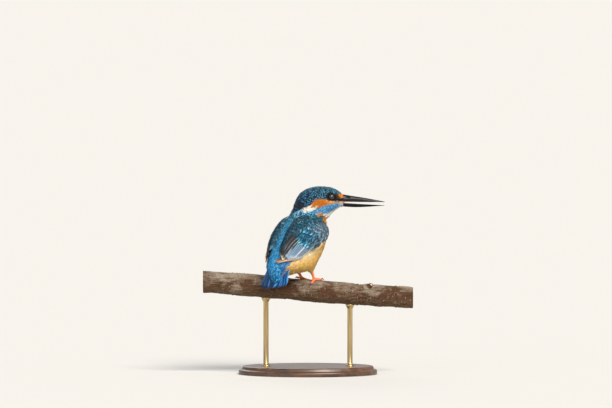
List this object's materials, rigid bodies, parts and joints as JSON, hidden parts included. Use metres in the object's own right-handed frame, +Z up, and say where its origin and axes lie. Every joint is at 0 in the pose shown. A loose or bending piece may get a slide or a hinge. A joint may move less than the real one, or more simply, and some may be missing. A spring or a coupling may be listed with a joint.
{
  "type": "common kingfisher",
  "caption": "Life-size common kingfisher perched on a cut branch, head turned over its right shoulder, long bill slightly open, on an oval display stand.",
  "frame": {"origin": "middle of the display stand's underside, on the floor", "axes": "+X along the turned head's bill and the perch, +Y away from the bird's shown side, +Z up"},
  "size_m": [0.2, 0.104, 0.1797],
  "materials": {
    "plumage_dark": "close feathers, blue-green with a slight sheen",
    "plumage_orange": "soft loose feathers, matt",
    "plumage_blue": "stiff long feathers, slight sheen",
    "plumage_grey": "stiff long feathers, silky",
    "horn": "horn, half gloss",
    "eye": "glass eye, full gloss",
    "coral_skin": "fine scales, half matt",
    "bark": "bark, matt and rough",
    "walnut": "waxed wood, half matt",
    "brass": "brushed, aged"
  },
  "bodies": {
    "root": {"head": "plumage_dark", "neck": "plumage_dark", "trunk": "plumage_orange", "tail": "plumage_blue", "bill_upper": "horn", "bill_lower": "horn", "eye_right": "eye", "eye_left": "eye", "perch": "bark", "stand_base": "walnut", "stand_rod_1": "brass", "stand_rod_2": "brass", "wing_right_flight_feathers": "plumage_grey", "wing_right_coverts": "plumage_dark", "wing_right_scapulars": "plumage_dark", "leg_right": "plumage_orange", "foot_right": "coral_skin", "claw_right_inner": "horn", "claw_right_middle": "horn", "claw_right_outer": "horn", "claw_right_hind": "horn", "wing_left_flight_feathers": "plumage_grey", "wing_left_coverts": "plumage_dark", "wing_left_scapulars": "plumage_dark", "leg_left": "plumage_orange", "foot_left": "coral_skin", "claw_left_inner": "horn", "claw_left_middle": "horn", "claw_left_outer": "horn", "claw_left_hind": "horn"}
  },
  "joints": []
}
